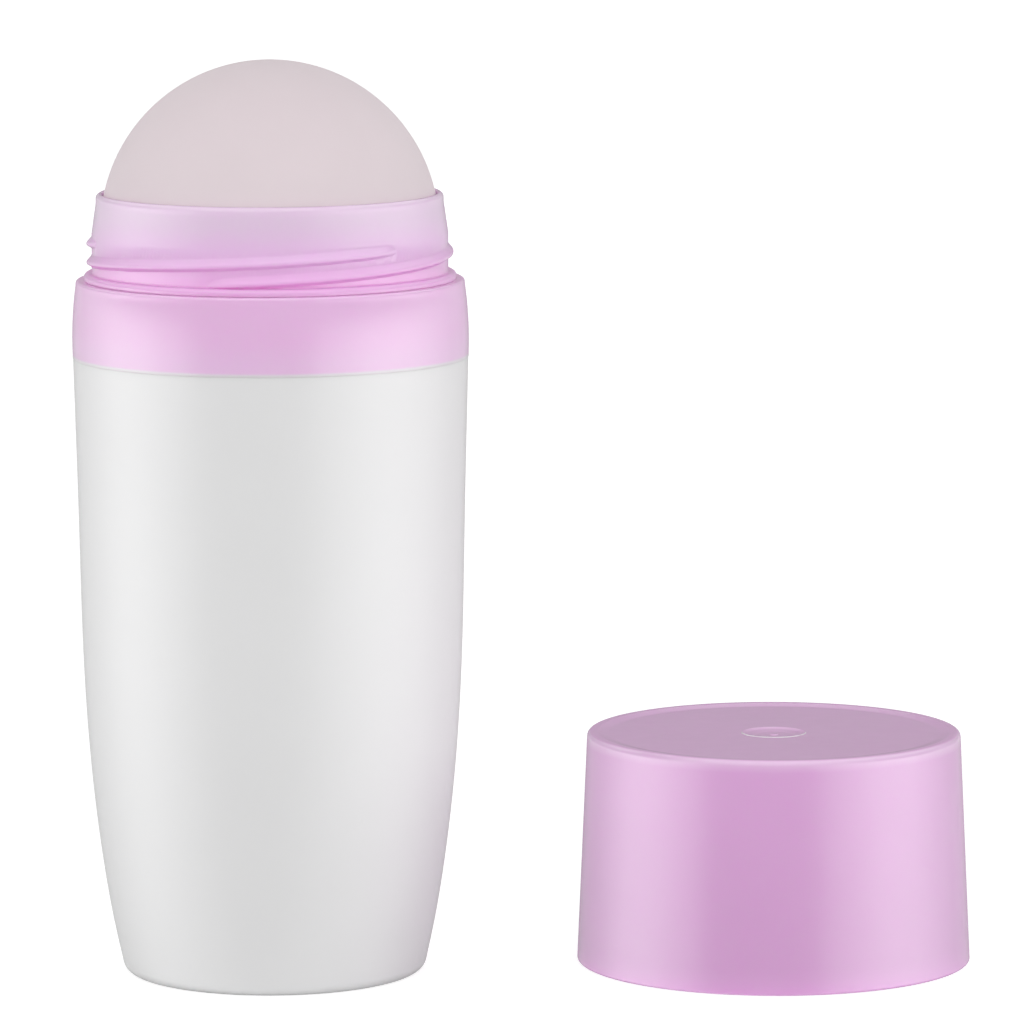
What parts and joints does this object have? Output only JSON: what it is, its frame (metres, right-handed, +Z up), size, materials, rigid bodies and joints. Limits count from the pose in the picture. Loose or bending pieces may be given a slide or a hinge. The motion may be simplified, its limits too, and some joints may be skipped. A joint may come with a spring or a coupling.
{
  "type": "roll on bottle",
  "caption": "Upright roll-on bottle with a free-turning ball in a threaded neck, and its screw cap standing mouth down beside it.",
  "frame": {"origin": "centre of the bottle's foot, on the surface it stands on", "axes": "+Z up along the bottle's axis, +X towards the cap that stands beside it, -Y towards the viewer of the picture"},
  "size_m": [0.0947, 0.0466, 0.0964],
  "materials": {
    "white_body": "glossy opaque white",
    "pink_fitment": "glossy, slightly translucent pink",
    "pink_cap": "glossy, slightly translucent mauve pink",
    "frosted_ball": "finely ground, frosted translucent",
    "natural_seat": "natural uncoloured, soft and waxy",
    "seal_rubber": "dark grey soft rubber"
  },
  "bodies": {
    "bottle": {"bottle_body": "white_body", "shoulder_collar": "pink_fitment", "ball_housing": "pink_fitment", "ball_seat": "natural_seat", "plug_seal": "seal_rubber"},
    "ball": {"ball_lower_shell": "frosted_ball", "ball_upper_shell": "frosted_ball"},
    "cap": {"cap": "pink_cap"}
  },
  "joints": [
    {"name": "ball_roll", "type": "hinge", "parent": "bottle", "child": "ball", "pos_m": [0, 0, 0.07863], "axis": [1, 0, 0], "continuous": true},
    {"name": "cap_lift", "type": "slide", "parent": "bottle", "child": "cap", "axis": [0, 0, 1], "range_m": [0, 0.1]}
  ]
}
